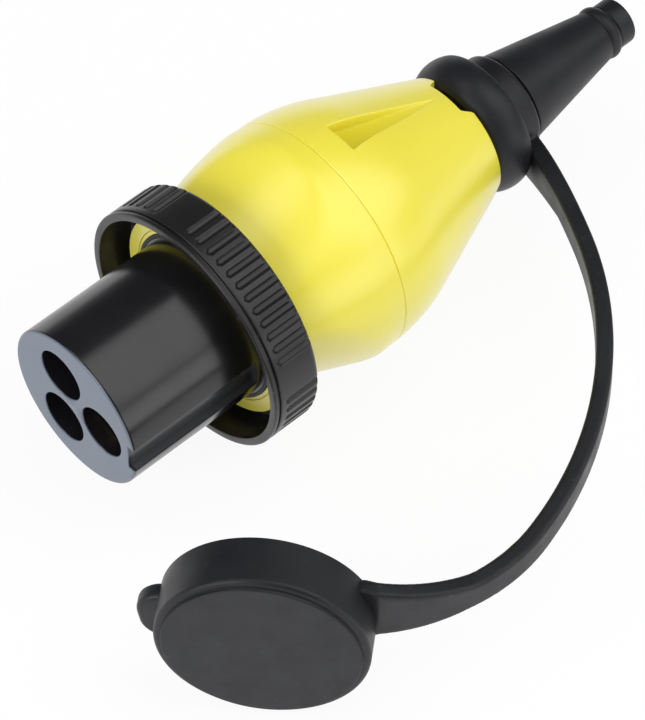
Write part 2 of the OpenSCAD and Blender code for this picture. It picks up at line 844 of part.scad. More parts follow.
// The cap at the strap's end, its mouth to the strap's right
module cap() {
    tab_x = cap_r + tab_len;
    tab_root = cap_in_r + cap_wall / 2;
    translate([cap_r, -strap_t / 2, 0]) {
        rotate([-90, 0, 0]) rotate_extrude() difference() {
            rounded_band(0, cap_r, 0, cap_depth, cap_mouth_round, cap_round);
            band(-cut, cap_in_r, -cut, cap_depth - cap_floor);
            band(-cut, cap_r - cap_round - cap_rim_w, cap_depth - cap_sink, cap_depth + cut);
        }
        translate([-cap_r - pad_lap, 0, -strap_end_w / 2])
            cube([pad_lap + cap_r - tab_root, strap_t, strap_end_w]);
        translate([0, tab_t, 0]) rotate([90, 0, 0]) linear_extrude(tab_t) {
            translate([tab_root, -tab_w / 2]) square([tab_x - tab_round - tab_root, tab_w]);
            translate([cap_r - lap, tab_round - tab_w / 2])
                square([tab_len + lap, tab_w - 2 * tab_round]);
            for (side = [-1, 1]) translate([tab_x - tab_round, side * (tab_w / 2 - tab_round)])
                circle(r = tab_round);
        }
    }
}

// The strap from inside the ring to the cap, starting at the origin along +X
module strap() {
    narrow = strap_w / 2 - lap;
    half_end = strap_end_w / 2;
    bend(root_bend_r, root_bend_angle, strap_w);
    intersection() {
        bend(root_bend_r, root_bend_angle, 2 * strap_root_down);
        taper(0, -strap_root_down, strap_root_up, strap_root_len, -narrow, narrow);
    }
    after(root_bend_r, root_bend_angle) {
        tie();
        bend(mid_bend_r, mid_bend_angle, strap_w);
        after(mid_bend_r, mid_bend_angle) {
            tie();
            bend(end_bend_r, end_bend_angle, strap_w);
            intersection() {
                bend(end_bend_r, end_bend_angle, strap_end_w);
                after(end_bend_r, end_bend_angle)
                    taper(-strap_end_len, -narrow, narrow, lap, -half_end, half_end);
            }
            after(end_bend_r, end_bend_angle)
                rotate([cap_tip_angle, cap_spin_angle, -cap_turn_angle]) cap();
        }
    }
}

module cap_tether() {
    tether_x1 = tether_x0 + tether_w;
    color([0.2, 0.2, 0.21])
    difference() {
        union() {
            turned() rounded_band(0, tether_r, tether_x0, tether_x1, tether_round, tether_round);
            translate([tether_x0 + strap_set, strap_sink - tether_in_r, 0])
                rotate([0, -strap_fall_angle, 0]) rotate([0, 0, -quarter - strap_lean_angle]) strap();
        }
        rod(tether_x0 - cut, tether_x1 + cut, tether_in_r);
    }
}

contact_carrier();
line_contact();
neutral_contact();
earth_contact();
line_screw();
neutral_screw();
earth_screw();
contact_retainer();
retainer_screw_1();
retainer_screw_2();
retainer_screw_3();
carrier_nut();
face_gasket();
lock_ring();
ring_collar();
front_shell();
rear_shell();
shell_seal();
cord_clamp();
clamp_screw_1();
clamp_screw_2();
gland_seal();
gland_washer();
cable_boot();
cap_tether();
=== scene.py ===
import json
import math
import bpy
import numpy as np
from mathutils import Matrix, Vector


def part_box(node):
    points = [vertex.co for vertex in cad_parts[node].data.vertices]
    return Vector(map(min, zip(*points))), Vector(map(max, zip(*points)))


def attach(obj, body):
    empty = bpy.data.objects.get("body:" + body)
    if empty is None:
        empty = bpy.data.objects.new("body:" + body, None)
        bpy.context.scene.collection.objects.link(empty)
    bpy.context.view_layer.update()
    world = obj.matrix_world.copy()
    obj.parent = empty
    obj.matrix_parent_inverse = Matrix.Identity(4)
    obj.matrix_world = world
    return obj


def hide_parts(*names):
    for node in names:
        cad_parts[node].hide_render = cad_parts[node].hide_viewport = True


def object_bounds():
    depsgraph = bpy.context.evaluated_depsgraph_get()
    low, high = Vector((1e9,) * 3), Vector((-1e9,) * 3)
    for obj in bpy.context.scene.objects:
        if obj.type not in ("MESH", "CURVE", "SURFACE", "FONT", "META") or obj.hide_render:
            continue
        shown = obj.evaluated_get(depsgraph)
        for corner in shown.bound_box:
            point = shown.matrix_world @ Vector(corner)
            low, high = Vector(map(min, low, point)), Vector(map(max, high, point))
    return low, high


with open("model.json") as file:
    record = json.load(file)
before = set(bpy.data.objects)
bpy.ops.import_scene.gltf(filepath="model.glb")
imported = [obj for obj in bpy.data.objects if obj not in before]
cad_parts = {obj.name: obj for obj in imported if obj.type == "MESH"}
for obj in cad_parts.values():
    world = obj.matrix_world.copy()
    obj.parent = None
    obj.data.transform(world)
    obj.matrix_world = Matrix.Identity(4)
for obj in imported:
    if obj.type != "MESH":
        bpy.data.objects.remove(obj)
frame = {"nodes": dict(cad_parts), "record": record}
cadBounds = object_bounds()
bpy.context.scene.view_settings.view_transform = "Standard"
mm = 0.001
print("frame loaded:", len(frame["nodes"]), "nodes")


def deselectAll():
    if bpy.context.object and bpy.context.object.mode != "OBJECT":
        bpy.ops.object.mode_set(mode="OBJECT")
    bpy.ops.object.select_all(action="DESELECT")


def pickOnly(piece):
    deselectAll()
    piece.select_set(True)
    bpy.context.view_layer.objects.active = piece


def boxMm(node):
    lo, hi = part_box(node)
    return [c / mm for c in lo], [c / mm for c in hi]


# camera, set to the photo's view
photoCamera = {
    "target": (0.05737, -0.03151, 0.0),
    "azimuth": -42.516,
    "elevation": 53.164,
    "distance": 1.03778,
    "lens": 200.0,
    "sensor": 36.0,
    "farEnd": 20.0,
}


def addCamera(opts):
    az = math.radians(opts["azimuth"])
    el = math.radians(opts["elevation"])
    back = (math.sin(az) * math.cos(el), -math.cos(az) * math.cos(el), math.sin(el))
    place = [t + opts["distance"] * b for t, b in zip(opts["target"], back)]
    bpy.ops.object.camera_add(location=place, rotation=(math.pi / 2 - el, 0, az))
    cam = bpy.context.object
    cam.name = "photoCamera"
    cam.data.lens = opts["lens"]
    cam.data.sensor_width = opts["sensor"]
    cam.data.clip_end = opts["farEnd"]
    bpy.context.scene.camera = cam


# studio: plain white floor in a dim room, lit by softboxes
studio = {
    "floorSize": 6.0,
    "floorCentre": (0.06, 0.0),
    "floorDrop": 0.0002,
    "floorColour": (0.9, 0.9, 0.91, 1),
    "floorGlow": 0.92,       # share of plain white that the camera sees in the floor
    "roomColour": (1.0, 1.0, 1.0, 1),
    "roomLight": 0.46,       # what the room gives to the surfaces
    "roomLow": 0.3,          # how bright the room looks in reflections, at the horizon
    "roomHigh": 0.06,        # and overhead
    "roomSpan": (0.0, 0.3),
    "aim": (0.06, -0.03, 0.0),
    "softboxes": {
        "over": {"place": (0.5, -0.45, 0.95), "size": (1.1, 1.5), "power": 7.6},
        "crown": {"place": (-0.3, 0.4, 1.0), "size": (0.5, 0.5), "power": 1.4},
        "front": {"place": (-0.9, 0.0, 0.5), "size": (0.7, 0.6), "power": 5.2},
        "side": {"place": (0.3, -0.92, 0.15), "size": (0.7, 0.4), "power": 1.3},
    },
}


def aimAt(place, target):
    dx, dy, dz = [t - p for p, t in zip(place, target)]
    flat = math.hypot(dx, dy)
    return (math.atan2(flat, -dz), 0, math.atan2(dy, dx) - math.pi / 2)


def seenDirectly(nodes, links):
    # 1 for camera, glossy and transmission rays
    ray = nodes.new("ShaderNodeLightPath")
    first = nodes.new("ShaderNodeMath")
    first.operation = "MAXIMUM"
    second = nodes.new("ShaderNodeMath")
    second.operation = "MAXIMUM"
    links.new(ray.outputs["Is Camera Ray"], first.inputs[0])
    links.new(ray.outputs["Is Glossy Ray"], first.inputs[1])
    links.new(first.outputs[0], second.inputs[0])
    links.new(ray.outputs["Is Transmission Ray"], second.inputs[1])
    return second.outputs[0]


def addFloor(opts):
    deselectAll()
    floorZ = cadBounds[0][2] - opts["floorDrop"]
    bpy.ops.mesh.primitive_plane_add(size=opts["floorSize"], location=(*opts["floorCentre"], floorZ))
    floor = bpy.context.object
    floor.name = "studioFloor"
    mat = bpy.data.materials.new("studioFloorPaint")
    mat.use_nodes = True
    nodes, links = mat.node_tree.nodes, mat.node_tree.links
    nodes.clear()
    out = nodes.new("ShaderNodeOutputMaterial")
    mix = nodes.new("ShaderNodeMixShader")
    paint = nodes.new("ShaderNodeBsdfDiffuse")
    paint.inputs["Color"].default_value = opts["floorColour"]
    glow = nodes.new("ShaderNodeEmission")
    glow.inputs["Strength"].default_value = 1.0
    share = nodes.new("ShaderNodeMath")
    share.operation = "MULTIPLY"
    share.inputs[1].default_value = opts["floorGlow"]
    links.new(seenDirectly(nodes, links), share.inputs[0])
    links.new(share.outputs[0], mix.inputs["Fac"])
    links.new(paint.outputs[0], mix.inputs[1])
    links.new(glow.outputs[0], mix.inputs[2])
    links.new(mix.outputs[0], out.inputs["Surface"])
    floor.data.materials.append(mat)


def addRoom(opts):
    world = bpy.data.worlds.new("studioRoom")
    bpy.context.scene.world = world
    world.use_nodes = True
    nodes, links = world.node_tree.nodes, world.node_tree.links
    sky = nodes["Background"]
    sky.inputs["Color"].default_value = opts["roomColour"]
    coords = nodes.new("ShaderNodeTexCoord")
    split = nodes.new("ShaderNodeSeparateXYZ")
    fade = nodes.new("ShaderNodeMapRange")
    fade.inputs["From Min"].default_value, fade.inputs["From Max"].default_value = opts["roomSpan"]
    fade.inputs["To Min"].default_value = opts["roomLow"]
    fade.inputs["To Max"].default_value = opts["roomHigh"]
    pick = nodes.new("ShaderNodeMix")
    pick.inputs[2].default_value = opts["roomLight"]
    links.new(coords.outputs["Generated"], split.inputs[0])
    links.new(split.outputs["Z"], fade.inputs["Value"])
    links.new(seenDirectly(nodes, links), pick.inputs[0])
    links.new(fade.outputs["Result"], pick.inputs[3])
    links.new(pick.outputs[0], sky.inputs["Strength"])


def addSoftboxes(opts):
    for part, box in opts["softboxes"].items():
        place = box["place"]
        bpy.ops.object.light_add(type="AREA", location=place, rotation=aimAt(place, opts["aim"]))
        lamp = bpy.context.object
        lamp.name = part + "Softbox"
        lamp.data.shape = "RECTANGLE"
        lamp.data.size, lamp.data.size_y = box["size"]
        lamp.data.energy = box["power"]


addCamera(photoCamera)
addFloor(studio)
addRoom(studio)
addSoftboxes(studio)
print("camera and studio placed")


# finishes: colour drift, roughness and bump from noise on Object coordinates
noiseDetail = {"drift": 3.0, "specks": 2.0, "patch": 4.0, "grain": 2.0}
finishSpans = {
    "noise": (0.3, 0.7),
    "specks": (0.66, 0.8),
    "rimHighlight": (0.52, 0.62),          # Pointiness, from flat to rim, where rims get a painted highlight
    "face": (0.2, 0.4),            # mm behind the nose's front
    "keyRound": (23.1, 23.4),      # the keyway lies inside this radius in mm,
    "keySide": (-20.4, -20.2),     # on this side of the nose
    "keyFront": (0.8, 1.2),        # and behind its rounded edge
}


def noiseOn(nodes, links, coords, scale, detail):
    noise = nodes.new("ShaderNodeTexNoise")
    noise.inputs["Scale"].default_value = scale
    noise.inputs["Detail"].default_value = detail
    links.new(coords.outputs["Object"], noise.inputs["Vector"])
    return noise.outputs["Fac"]


def spread(nodes, links, value, span, toMin, toMax):
    ranged = nodes.new("ShaderNodeMapRange")
    numbers = {"From Min": span[0], "From Max": span[1], "To Min": toMin, "To Max": toMax}
    for socket, number in numbers.items():
        ranged.inputs[socket].default_value = number
    links.new(value, ranged.inputs["Value"])
    return ranged.outputs["Result"]


def spreadMm(nodes, links, value, span, toMin, toMax):
    return spread(nodes, links, value, [v * mm for v in span], toMin, toMax)


def multiply(nodes, links, first, second):
    product = nodes.new("ShaderNodeMath")
    product.operation = "MULTIPLY"
    links.new(first, product.inputs[0])
    links.new(second, product.inputs[1])
    return product.outputs[0]


def mixColours(nodes, links, factor, first, second):
    mix = nodes.new("ShaderNodeMix")
    mix.data_type = "RGBA"
    links.new(factor, mix.inputs[0])
    for socket, colour in ((mix.inputs[6], first), (mix.inputs[7], second)):
        if isinstance(colour, tuple):
            socket.default_value = colour + (1,)
        else:
            links.new(colour, socket)
    return mix.outputs[2]


def noseColours(nodes, links, coords, colour, opts):
    # front face painted pale blue-grey as a painted reflection, and the keyway floor painted paler than the
    # round of the nose as a painted reflection
    split = nodes.new("ShaderNodeSeparateXYZ")
    links.new(coords.outputs["Object"], split.inputs[0])
    front = spreadMm(nodes, links, split.outputs["X"], finishSpans["face"], 1, 0)
    colour = mixColours(nodes, links, front, colour, opts["faceReflectionColour"])
    flat = nodes.new("ShaderNodeCombineXYZ")
    links.new(split.outputs["Y"], flat.inputs["Y"])
    links.new(split.outputs["Z"], flat.inputs["Z"])
    radius = nodes.new("ShaderNodeVectorMath")
    radius.operation = "LENGTH"
    links.new(flat.outputs[0], radius.inputs[0])
    # keyway mask for the painted reflection on its floor
    within = spreadMm(nodes, links, radius.outputs["Value"], finishSpans["keyRound"], 1, 0)
    beside = spreadMm(nodes, links, split.outputs["Y"], finishSpans["keySide"], 1, 0)
    behind = spreadMm(nodes, links, split.outputs["X"], finishSpans["keyFront"], 0, 1)
    keyway = multiply(nodes, links, multiply(nodes, links, within, beside), behind)
    return mixColours(nodes, links, keyway, colour, opts["keyReflectionColour"])


def mouldedFinish(name, opts):
    mat = bpy.data.materials.new(name)
    mat.use_nodes = True
    nodes, links = mat.node_tree.nodes, mat.node_tree.links
    shader = nodes["Principled BSDF"]
    coords = nodes.new("ShaderNodeTexCoord")
    broad = noiseOn(nodes, links, coords, opts["driftScale"], noiseDetail["drift"])
    drift = spread(nodes, links, broad, finishSpans["noise"], 0, 1)
    colour = mixColours(nodes, links, drift, opts["colour"], opts["drift"])
    if opts.get("specks"):
        fine = noiseOn(nodes, links, coords, opts["speckScale"], noiseDetail["specks"])
        specks = spread(nodes, links, fine, finishSpans["specks"], 0, opts["specks"])
        colour = mixColours(nodes, links, specks, colour, opts["speckColour"])
    # convex rims are painted paler by Pointiness: a painted highlight along the edges
    if opts.get("rimHighlight"):
        shape = nodes.new("ShaderNodeNewGeometry")
        rimLit = spread(nodes, links, shape.outputs["Pointiness"], finishSpans["rimHighlight"], 0, opts["rimHighlight"])
        colour = mixColours(nodes, links, rimLit, colour, opts["rimHighlightColour"])
    # painted reflections on the nose's front face and keyway floor
    if opts.get("faceReflectionColour"):
        colour = noseColours(nodes, links, coords, colour, opts)
    if opts.get("fluteShadeColour"):
        # painted shade on the floors of the flutes, darkest at their deep wide end
        recess = nodes.new("ShaderNodeAttribute")
        recess.attribute_name = "recess"
        colour = mixColours(nodes, links, recess.outputs["Fac"], colour, opts["fluteShadeColour"])
    links.new(colour, shader.inputs["Base Color"])
    patch = noiseOn(nodes, links, coords, opts["patchScale"], noiseDetail["patch"])
    rough = spread(nodes, links, patch, finishSpans["noise"], opts["roughLow"], opts["roughHigh"])
    links.new(rough, shader.inputs["Roughness"])
    grain = noiseOn(nodes, links, coords, opts["grainScale"], noiseDetail["grain"])
    bump = nodes.new("ShaderNodeBump")
    bump.inputs["Strength"].default_value = opts["grain"]
    bump.inputs["Distance"].default_value = opts["grainDepth"] * mm
    links.new(grain, bump.inputs["Height"])
    links.new(bump.outputs["Normal"], shader.inputs["Normal"])
    shader.inputs["Metallic"].default_value = opts.get("metal", 0.0)
    shader.inputs["IOR"].default_value = opts.get("ior", 1.5)
    shader.inputs["Coat Weight"].default_value = opts.get("coat", 0.0)
    shader.inputs["Coat Roughness"].default_value = opts.get("coatRough", 0.1)
    shader.inputs["Sheen Weight"].default_value = opts.get("sheen", 0.0)
    shader.inputs["Sheen Roughness"].default_value = opts.get("sheenRough", 0.4)
    return mat


finishOpts = {
    "carrier_black": {
        "colour": (0.008, 0.008, 0.010), "drift": (0.011, 0.011, 0.013), "driftScale": 60,
        "rimHighlight": 0.25, "rimHighlightColour": (0.05, 0.05, 0.055),
        "faceReflectionColour": (0.10, 0.13, 0.183), "keyReflectionColour": (0.05, 0.052, 0.058),
        "patchScale": 90, "roughLow": 0.19, "roughHigh": 0.26,
        "grainScale": 1800, "grain": 0.06, "grainDepth": 0.02, "ior": 1.6,
    },
    "ring_black": {
        "colour": (0.011, 0.0098, 0.010), "drift": (0.015, 0.0135, 0.0135), "driftScale": 70,
        "rimHighlight": 0.6, "rimHighlightColour": (0.10, 0.10, 0.105),
        "patchScale": 120, "roughLow": 0.28, "roughHigh": 0.37,
        "grainScale": 1600, "grain": 0.2, "grainDepth": 0.03,
    },
    "retainer_black": {
        "colour": (0.025, 0.025, 0.026), "drift": (0.035, 0.035, 0.036), "driftScale": 80,
        "patchScale": 100, "roughLow": 0.45, "roughHigh": 0.55,
        "grainScale": 1500, "grain": 0.2, "grainDepth": 0.03,
    },
    "shell_yellow": {
        "colour": (0.88, 0.775, 0.045), "drift": (0.90, 0.80, 0.06), "driftScale": 25,
        "fluteShadeColour": (0.74, 0.63, 0.002),
        "rimHighlight": 0.2, "rimHighlightColour": (0.93, 0.86, 0.2),
        "patchScale": 60, "roughLow": 0.30, "roughHigh": 0.38,
        "grainScale": 1400, "grain": 0.08, "grainDepth": 0.02,
        "coat": 1.0, "coatRough": 0.3, "sheen": 0.14, "sheenRough": 0.35,
    },
    "boot_rubber": {
        "colour": (0.0095, 0.010, 0.0125), "drift": (0.014, 0.0148, 0.0185), "driftScale": 50,
        "specks": 0.3, "speckScale": 700, "speckColour": (0.06, 0.06, 0.065),
        "rimHighlight": 0.3, "rimHighlightColour": (0.06, 0.06, 0.066),
        "patchScale": 140, "roughLow": 0.38, "roughHigh": 0.5,
        "grainScale": 1300, "grain": 0.3, "grainDepth": 0.04, "ior": 1.42,
    },
    "seal_rubber": {
        "colour": (0.016, 0.016, 0.017), "drift": (0.022, 0.022, 0.023), "driftScale": 80,
        "specks": 0.3, "speckScale": 800, "speckColour": (0.05, 0.05, 0.05),
        "patchScale": 140, "roughLow": 0.5, "roughHigh": 0.62,
        "grainScale": 1300, "grain": 0.3, "grainDepth": 0.03,
    },
    "contact_brass": {
        "colour": (0.72, 0.52, 0.20), "drift": (0.80, 0.62, 0.28), "driftScale": 150,
        "patchScale": 300, "roughLow": 0.24, "roughHigh": 0.36,
        "grainScale": 2500, "grain": 0.15, "grainDepth": 0.01, "metal": 1.0,
    },
    "screw_steel": {
        "colour": (0.58, 0.58, 0.60), "drift": (0.66, 0.66, 0.68), "driftScale": 200,
        "patchScale": 300, "roughLow": 0.3, "roughHigh": 0.42,
        "grainScale": 2500, "grain": 0.15, "grainDepth": 0.01, "metal": 1.0,
    },
}
finishNames = {
    "carrier_black": "noseBlack", "ring_black": "ringBlack", "retainer_black": "retainerBlack",
    "shell_yellow": "shellYellow", "boot_rubber": "bootRubber", "seal_rubber": "sealRubber",
    "contact_brass": "contactBrass", "screw_steel": "screwSteel",
}
finishes = {slot: mouldedFinish(finishNames[slot], opts) for slot, opts in finishOpts.items()}
slotOf = {row["node"]: row["material_slot"] for row in frame["record"]["subparts"]}
for nodeName, obj in frame["nodes"].items():
    obj.data.materials.clear()
    obj.data.materials.append(finishes[slotOf[nodeName]])
print("finishes set on", len(frame["nodes"]), "nodes")


# profiles are (x, radius) in mm along the plug's axis
weldGap = 0.0005


def roundedLoop(corners, arcSteps=6):
    # each corner is (x, radius, rounding)
    loop = []
    for i, (x, r, rounding) in enumerate(corners):
        if not rounding:
            loop.append((x, r))
            continue
        inX, inR = corners[i - 1][0] - x, corners[i - 1][1] - r
        after = corners[(i + 1) % len(corners)]
        outX, outR = after[0] - x, after[1] - r
        inLen, outLen = math.hypot(inX, inR), math.hypot(outX, outR)
        inX, inR, outX, outR = inX / inLen, inR / inLen, outX / outLen, outR / outLen
        half = math.acos(max(-1.0, min(1.0, inX * outX + inR * outR))) / 2
        reach = rounding / math.tan(half)
        middle = rounding / math.sin(half) / (2 * math.cos(half))
        midX, midR = x + (inX + outX) * middle, r + (inR + outR) * middle
        start = math.atan2(r + inR * reach - midR, x + inX * reach - midX)
        end = math.atan2(r + outR * reach - midR, x + outX * reach - midX)
        turn = (end - start + math.pi) % (2 * math.pi) - math.pi
        for k in range(arcSteps + 1):
            angle = start + turn * k / arcSteps
            loop.append((midX + rounding * math.cos(angle), midR + rounding * math.sin(angle)))
    return loop


def alongCurve(xs, rule):
    return [(x, rule(x), 0) for x in xs]


def turnedPiece(name, loop, steps, closed=True, sectors=4):
    deselectAll()
    points = [(x * mm, r * mm) for x, r in loop]
    if closed:
        points.append(points[0])
    bpy.ops.mesh.primitive_plane_add(size=mm)
    piece = bpy.context.object
    piece.name = piece.data.name = name
    bpy.context.tool_settings.mesh_select_mode = (True, False, False)
    bpy.ops.object.mode_set(mode="EDIT")
    bpy.ops.mesh.select_all(action="SELECT")
    bpy.ops.mesh.merge(type="CENTER")
    bpy.ops.transform.translate(value=(points[0][0], 0, points[0][1]))
    for (x0, r0), (x1, r1) in zip(points, points[1:]):
        bpy.ops.mesh.extrude_region_move(TRANSFORM_OT_translate={"value": (x1 - x0, 0, r1 - r0)})
    # one sector is spun, then copied round
    bpy.ops.mesh.select_all(action="SELECT")
    bpy.ops.mesh.spin(steps=steps // sectors, angle=2 * math.pi / sectors, center=(0, 0, 0), axis=(1, 0, 0))
    bpy.ops.mesh.select_all(action="SELECT")
    bpy.ops.mesh.spin(steps=sectors - 1, angle=2 * math.pi * (sectors - 1) / sectors, dupli=True,
                      center=(0, 0, 0), axis=(1, 0, 0))
    bpy.ops.mesh.select_all(action="SELECT")
    bpy.ops.mesh.remove_doubles(threshold=weldGap * mm)
    bpy.ops.mesh.normals_make_consistent(inside=False)
    bpy.ops.object.mode_set(mode="OBJECT")
    return piece


def readPoints(piece):
    flat = np.empty(len(piece.data.vertices) * 3, dtype=np.float32)
    piece.data.vertices.foreach_get("co", flat)
    return flat.reshape(-1, 3).astype(float) / mm


def writePoints(piece, points):
    piece.data.vertices.foreach_set("co", (points * mm).astype(np.float32).ravel())
    piece.data.update()


def smoothStep(t):
    t = np.clip(t, 0, 1)
    return t * t * (3 - 2 * t)


def softMin(a, b, soft):
    h = np.clip(0.5 + 0.5 * (b - a) / soft, 0, 1)
    return b + (a - b) * h - soft * h * (1 - h)


def combine(piece, tool, operation):
    pickOnly(piece)
    mod = piece.modifiers.new("combine", "BOOLEAN")
    mod.operation = operation
    mod.solver = "MANIFOLD"
    mod.object = tool
    bpy.ops.object.modifier_apply(modifier=mod.name)
    bpy.data.objects.remove(tool, do_unlink=True)


def dropSlivers(piece, thinnest):
    # many-sided faces along a union's seam, cut up without hair-thin triangles
    pickOnly(piece)
    bpy.context.tool_settings.mesh_select_mode = (False, False, True)
    bpy.ops.object.mode_set(mode="EDIT")
    bpy.ops.mesh.select_all(action="DESELECT")
    bpy.ops.mesh.select_face_by_sides(number=4, type="GREATER", extend=False)
    bpy.ops.mesh.quads_convert_to_tris(quad_method="BEAUTY", ngon_method="BEAUTY")
    bpy.ops.mesh.dissolve_degenerate(threshold=thinnest * mm)
    bpy.ops.object.mode_set(mode="OBJECT")


def pickEdges(piece, wanted):
    # ends in edit mode with the wanted edges picked
    bpy.ops.object.mode_set(mode="EDIT")
    bpy.ops.mesh.select_all(action="DESELECT")
    bpy.ops.object.mode_set(mode="OBJECT")
    bpy.context.tool_settings.mesh_select_mode = (False, True, False)
    verts = piece.data.vertices
    for edge in piece.data.edges:
        a, b = (verts[i].co for i in edge.vertices)
        edge.select = wanted(a, b)
    bpy.ops.object.mode_set(mode="EDIT")


def applyPlace(piece, place):
    pickOnly(piece)
    piece.matrix_world = place
    bpy.ops.object.transform_apply(location=True, rotation=True, scale=True)


def finishPiece(piece, body, slot, node, angle):
    pickOnly(piece)
    bpy.ops.object.shade_smooth_by_angle(angle=math.radians(angle))
    mod = piece.modifiers.new("flatFaces", "WEIGHTED_NORMAL")
    mod.keep_sharp = True
    bpy.ops.object.modifier_apply(modifier=mod.name)
    piece.data.materials.clear()
    piece.data.materials.append(finishes[slot])
    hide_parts(node)
    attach(piece, body)
    print(piece.name, "has", len(piece.data.polygons), "faces")


# lock ring: plain lip, then four rows of grip grooves
ringOpts = {
    "steps": 896, "sectors": 8, "smoothAngle": 32,
    "meshStart": 1.0, "meshStop": 0.2, "meshStep": 0.4,
    "bore": 33.6, "web": 28.5, "webFront": 48.3,
    "lipWidth": 1.3, "lipGroove": 0.8,
    "boreRound": 0.3, "lipRound": 0.6, "grooveRound": 0.2,
    "edgeRound": 0.45, "rearRound": 1.5, "webRound": 0.4,
    "gripCount": 12, "gripPitch": 6.2, "gripStart": 77.0,
    "gripMargin": 1.7, "gripWidth": 2.3, "gripDepth": 1.0, "gripSoft": 0.25, "gripRise": 2,
    "heldFront": 0.5, "heldBore": 0.8,
}


def buildGripRing(opts):
    lo, hi = boxMm("lock_ring")
    x0, x1, outer = lo[0], hi[0], round(max(hi[1], hi[2]), 1)
    lipEnd = x0 + opts["lipWidth"]
    zone = lipEnd + opts["lipGroove"]
    low = outer - opts["lipGroove"]
    bore, web, webFront = opts["bore"], opts["web"], opts["webFront"]
    edge, inner, groove = opts["edgeRound"], opts["boreRound"], opts["grooveRound"]
    corners = [(x0, bore, inner), (x0, outer, opts["lipRound"]), (lipEnd, outer, edge),
               (lipEnd, low, groove), (zone, low, groove), (zone, outer, edge)]
    lastX = x1 - opts["rearRound"] - opts["meshStop"]
    corners += alongCurve(np.arange(zone + opts["meshStart"], lastX, opts["meshStep"]), lambda x: outer)
    corners += [(x1, outer, opts["rearRound"]), (x1, web, opts["webRound"]),
                (webFront, web, inner), (webFront, bore, inner)]
    ring = turnedPiece("gripRing", roundedLoop(corners), opts["steps"], sectors=opts["sectors"])

    points = readPoints(ring)
    x, y, z = points.T
    r = np.hypot(y, z)
    row = (opts["gripCount"] - 1) * opts["gripPitch"]
    quarter = 90
    turn = (np.degrees(np.arctan2(z, y)) - opts["gripStart"]) % quarter - (quarter - row) / 2
    index = np.clip(np.round(turn / opts["gripPitch"]), 0, opts["gripCount"] - 1)
    across = np.radians(turn - index * opts["gripPitch"]) * outer
    half = opts["gripWidth"] / 2
    gripX0 = zone + opts["gripMargin"] + half
    away = np.hypot(across, np.minimum(x - gripX0, 0))
    inside = np.sqrt(np.clip(half ** 2 - away ** 2, 0, None))
    floor = outer - opts["gripDepth"] + half - inside + opts["gripRise"] * np.clip(away - half, 0, None)
    held = (x > zone + opts["heldFront"]) & (r > bore + opts["heldBore"])
    cut = np.where(held, softMin(r, floor, opts["gripSoft"]), r)
    points[:, 1:] *= (cut / r)[:, None]
    writePoints(ring, points)
    finishPiece(ring, "lock_ring", "ring_black", "lock_ring", opts["smoothAngle"])


buildGripRing(ringOpts)


# front shell: swelling barrel with three soft grip flats
frontOpts = {
    "steps": 384, "swellLines": 34, "smoothAngle": 32,
    "shoulderGap": 0.3, "shoulder": 29.6, "shoulderRound": 0.5,
    "swell": 103.0, "bandWidth": 5.2, "bandRise": 0.2, "seamRound": 0.2, "creaseRun": 1.5, "creaseDrop": 0.04,
    "flatAt": (90, 210, 330), "flatSlope": 21.3, "flatRound": 50.0, "flatEnd": 1.0, "flatSoft": 0.7,
    "flatReach": 70, "flatFree": 1000, "skinSeam": 0.5, "skinNeck": 0.4, "skinSlack": 0.01,
    "collarFront": 44.5, "collarBack": 48.0, "spigot": 26.4, "neck": 28.2,
    "recess": 25.3, "recessEnd": 46.5, "opening": 24.3, "seat": 50.5, "neckBore": 25.5,
    "throatStart": 60.0, "throatEnd": 66.0, "sleeve": 31.65, "sleeveBore": 28.25, "sleeveEnd": 90.2,
    "sealFront": 85.3, "sealBack": 87.5, "sealFloor": 29.85,
    "collarRound": 0.3, "sleeveRound": 0.4, "sleeveBoreRound": 0.3,
}


def flatRadius(x, off, creaseX, creaseR, opts):
    # radius at which a tilted round of flatRound limits the barrel
    slope = math.radians(opts["flatSlope"])
    axisX = creaseX - opts["flatEnd"] + opts["flatRound"] * math.sin(slope)
    axisY = creaseR - opts["flatRound"] * math.cos(slope)
    side = -math.sin(slope) * (x - axisX) - math.cos(slope) * axisY
    lean = math.cos(slope) * np.cos(off)
    square = lean ** 2 + np.sin(off) ** 2
    root = (side * lean) ** 2 - square * (side ** 2 - opts["flatRound"] ** 2)
    return (-side * lean + np.sqrt(np.clip(root, 0, None))) / square


